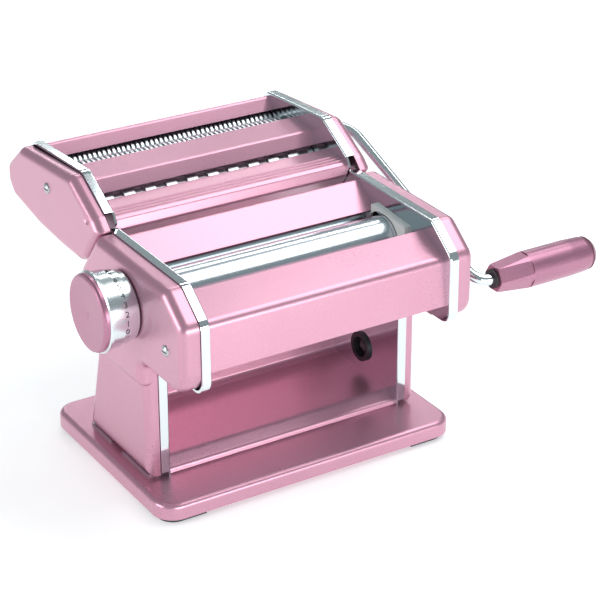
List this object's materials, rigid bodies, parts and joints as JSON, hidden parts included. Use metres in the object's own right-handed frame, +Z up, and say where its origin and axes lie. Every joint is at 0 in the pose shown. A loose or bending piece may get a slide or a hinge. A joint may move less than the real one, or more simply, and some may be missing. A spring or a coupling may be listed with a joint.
{
  "type": "pasta roller machine",
  "caption": "Hand-cranked pasta roller with adjustable smooth rollers, a lift-off cutter head and a pull-out crank, on a base with rubber feet.",
  "frame": {"origin": "on the table, under the middle of the base plate", "axes": "+X along the rollers towards the crank, +Y from the front of the machine to the back, +Z up"},
  "size_m": [0.302, 0.207, 0.1589],
  "materials": {
    "pink_paint": "satin metallic",
    "chrome": "mirror",
    "polished_steel": "polished",
    "plated_steel": "zinc plated",
    "foot_rubber": "matt",
    "dark_plastic": "satin",
    "guide_plastic": "satin",
    "bush_bronze": "satin",
    "spring_steel": "bright"
  },
  "bodies": {
    "frame": {"base_plate": "pink_paint", "rubber_feet": "foot_rubber", "base_screws": "plated_steel", "side_plate_right": "chrome", "side_plate_left": "chrome", "side_cover_right": "pink_paint", "side_cover_left": "pink_paint", "front_cover": "pink_paint", "hopper_plate": "pink_paint", "tray_panel": "pink_paint", "side_guides": "guide_plastic", "clamp_grommet": "dark_plastic", "body_tie_rods": "plated_steel", "body_cover_screws": "plated_steel", "roller_bushes": "bush_bronze", "standoffs": "plated_steel", "support_plates": "plated_steel", "index_pin": "plated_steel", "roller_scraper": "spring_steel", "hook_brackets": "chrome"},
    "thickness_shaft": {"adjust_shaft": "plated_steel", "adjust_cams": "plated_steel", "shaft_screw": "plated_steel"},
    "knob": {"knob_body": "chrome", "knob_band": "chrome", "knob_cap": "pink_paint", "knob_spring": "spring_steel"},
    "roller_carriage": {"bearing_blocks": "bush_bronze"},
    "front_roller": {"front_roller": "polished_steel", "front_roller_gear": "plated_steel", "front_roller_collar": "plated_steel"},
    "rear_roller": {"rear_roller": "polished_steel", "rear_roller_gear": "plated_steel"},
    "cutter_head": {"cutter_plate_right": "chrome", "cutter_plate_left": "chrome", "cutter_cover_right": "pink_paint", "cutter_cover_left": "pink_paint", "cutter_front_wall": "pink_paint", "cutter_divider": "pink_paint", "cutter_back_wall": "pink_paint", "cutter_tie_rods": "plated_steel", "cutter_cover_screws": "plated_steel", "cutter_bushes": "bush_bronze", "hook_pins": "plated_steel", "wide_combs": "spring_steel", "fine_combs": "spring_steel"},
    "wide_front": {"wide_cutter_front": "polished_steel", "wide_gear_front": "plated_steel"},
    "wide_rear": {"wide_cutter_rear": "polished_steel", "wide_gear_rear": "plated_steel"},
    "fine_front": {"fine_cutter_front": "polished_steel", "fine_gear_front": "plated_steel"},
    "fine_rear": {"fine_cutter_rear": "polished_steel", "fine_gear_rear": "plated_steel"},
    "crank": {"crank_rod": "chrome", "grip_ferrule": "dark_plastic"},
    "grip": {"grip": "pink_paint", "grip_end_cap": "pink_paint"}
  },
  "joints": [
    {"name": "thickness_turn", "type": "hinge", "parent": "frame", "child": "thickness_shaft", "pos_m": [-0.09, -0.023, 0.1115], "axis": [1, 0, 0], "range_deg": [0, 130.5]},
    {"name": "knob_pull", "type": "slide", "parent": "thickness_shaft", "child": "knob", "axis": [-1, 0, 0], "range_m": [0, 0.0055], "stiffness_N_per_m": 600, "springref_m": -0.003, "deforming": ["knob_spring"]},
    {"name": "roller_gap", "type": "slide", "parent": "frame", "child": "roller_carriage", "axis": [0, 1, 0], "range_m": [0, 0.0042]},
    {"name": "rear_roller_spin", "type": "hinge", "parent": "frame", "child": "rear_roller", "pos_m": [0, 0.0057, 0.1115], "axis": [1, 0, 0], "continuous": true},
    {"name": "front_roller_spin", "type": "hinge", "parent": "roller_carriage", "child": "front_roller", "pos_m": [0, -0.0251, 0.1115], "axis": [1, 0, 0], "continuous": true},
    {"name": "head_lift", "type": "slide", "parent": "frame", "child": "cutter_head", "axis": [0, 0, 1], "range_m": [0, 0.04]},
    {"name": "wide_front_spin", "type": "hinge", "parent": "cutter_head", "child": "wide_front", "pos_m": [0, 0.0385, 0.1285], "axis": [1, 0, 0], "continuous": true},
    {"name": "wide_rear_spin", "type": "hinge", "parent": "cutter_head", "child": "wide_rear", "pos_m": [0, 0.0581, 0.1285], "axis": [1, 0, 0], "continuous": true},
    {"name": "crank_turn", "type": "hinge", "parent": "cutter_head", "child": "fine_front", "pos_m": [0, 0.084, 0.1352], "axis": [1, 0, 0], "continuous": true},
    {"name": "fine_rear_spin", "type": "hinge", "parent": "cutter_head", "child": "fine_rear", "pos_m": [0, 0.1036, 0.1352], "axis": [1, 0, 0], "continuous": true},
    {"name": "crank_pull_out", "type": "slide", "parent": "fine_front", "child": "crank", "axis": [1, 0, 0], "range_m": [0, 0.022]},
    {"name": "grip_spin", "type": "hinge", "parent": "crank", "child": "grip", "pos_m": [0.15, -0.05164, 0.08395], "axis": [1, 0, 0], "continuous": true}
  ],
  "couplings": [
    {"joint": "roller_gap", "follows": "thickness_turn", "m_per_rad": 0.001844},
    {"joint": "front_roller_spin", "follows": "rear_roller_spin", "ratio": -1},
    {"joint": "wide_rear_spin", "follows": "wide_front_spin", "ratio": -1},
    {"joint": "fine_rear_spin", "follows": "crank_turn", "ratio": -1}
  ]
}
